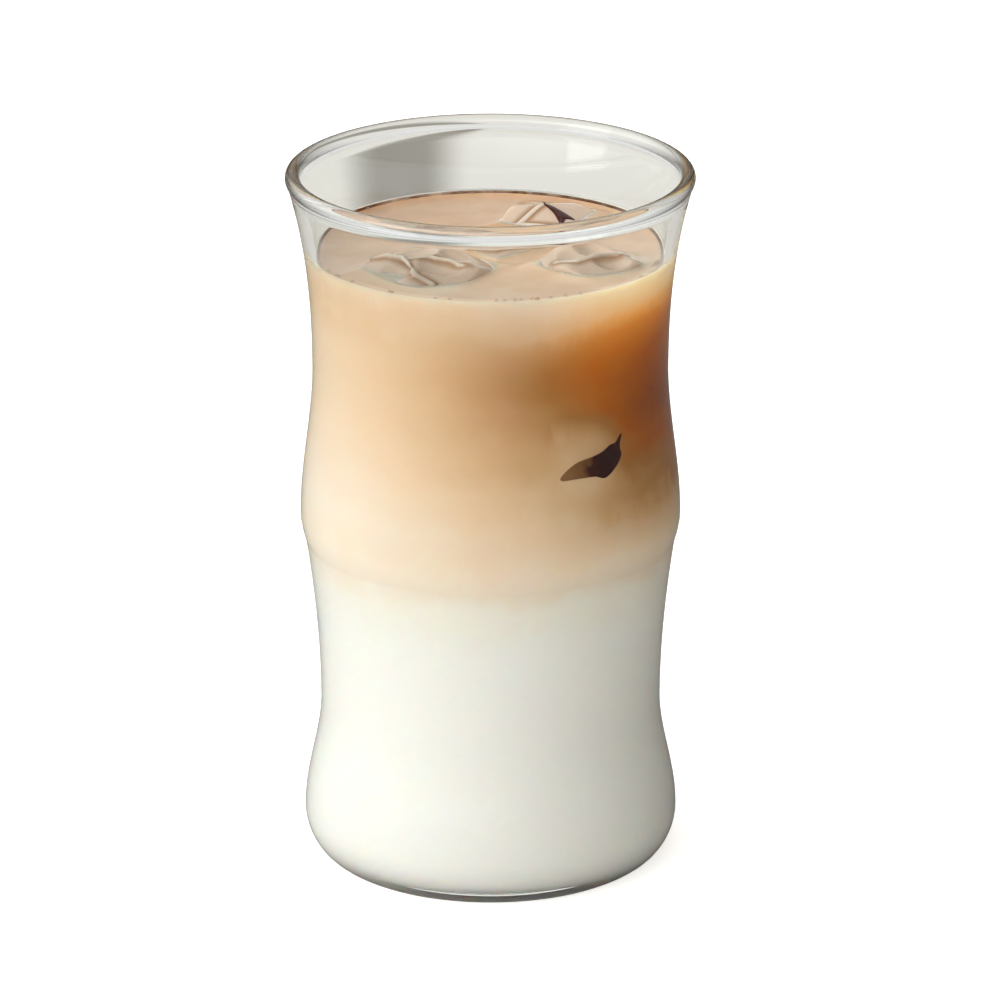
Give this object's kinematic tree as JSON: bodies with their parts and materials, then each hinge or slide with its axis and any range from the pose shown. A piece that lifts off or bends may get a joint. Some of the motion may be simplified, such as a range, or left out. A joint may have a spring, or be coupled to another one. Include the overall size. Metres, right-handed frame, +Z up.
{
  "type": "glass tumbler",
  "caption": "Clear bamboo-joint glass tumbler holding a layered iced latte, with floating ice cubes that lift out and a flat foot ring to stand on.",
  "frame": {"origin": "centre of the foot ring, in the plane that the glass stands on", "axes": "+Z up along the axis of the glass; the pictured front faces -Y, with +X to its right"},
  "size_m": [0.0792, 0.0792, 0.14],
  "materials": {
    "glass": "clear, fire polished",
    "milk": "opaque cold milk",
    "blend": "milk clouded with coffee",
    "coffee": "coffee with milk, wet surface",
    "ice": "clear melting ice",
    "fleck": "dark unmixed coffee"
  },
  "bodies": {
    "glass_and_drink": {"tumbler": "glass", "milk_layer": "milk", "blend_layer": "blend", "coffee_layer": "coffee", "ice_cube_wedged": "ice", "coffee_fleck": "fleck"},
    "front_left_ice": {"ice_cube_front_left": "ice"},
    "right_ice": {"ice_cube_right": "ice"},
    "back_right_ice": {"ice_cube_back_right": "ice"},
    "middle_ice": {"ice_cube_middle": "ice"}
  },
  "joints": [
    {"name": "front_left_ice_lift", "type": "slide", "parent": "glass_and_drink", "child": "front_left_ice", "axis": [0, 0, 1], "range_m": [0, 0.038]},
    {"name": "right_ice_lift", "type": "slide", "parent": "glass_and_drink", "child": "right_ice", "axis": [0, 0, 1], "range_m": [0, 0.038]},
    {"name": "back_right_ice_lift", "type": "slide", "parent": "glass_and_drink", "child": "back_right_ice", "axis": [0, 0, 1], "range_m": [0, 0.038]},
    {"name": "middle_ice_lift", "type": "slide", "parent": "glass_and_drink", "child": "middle_ice", "axis": [0, 0, 1], "range_m": [0, 0.038]}
  ]
}
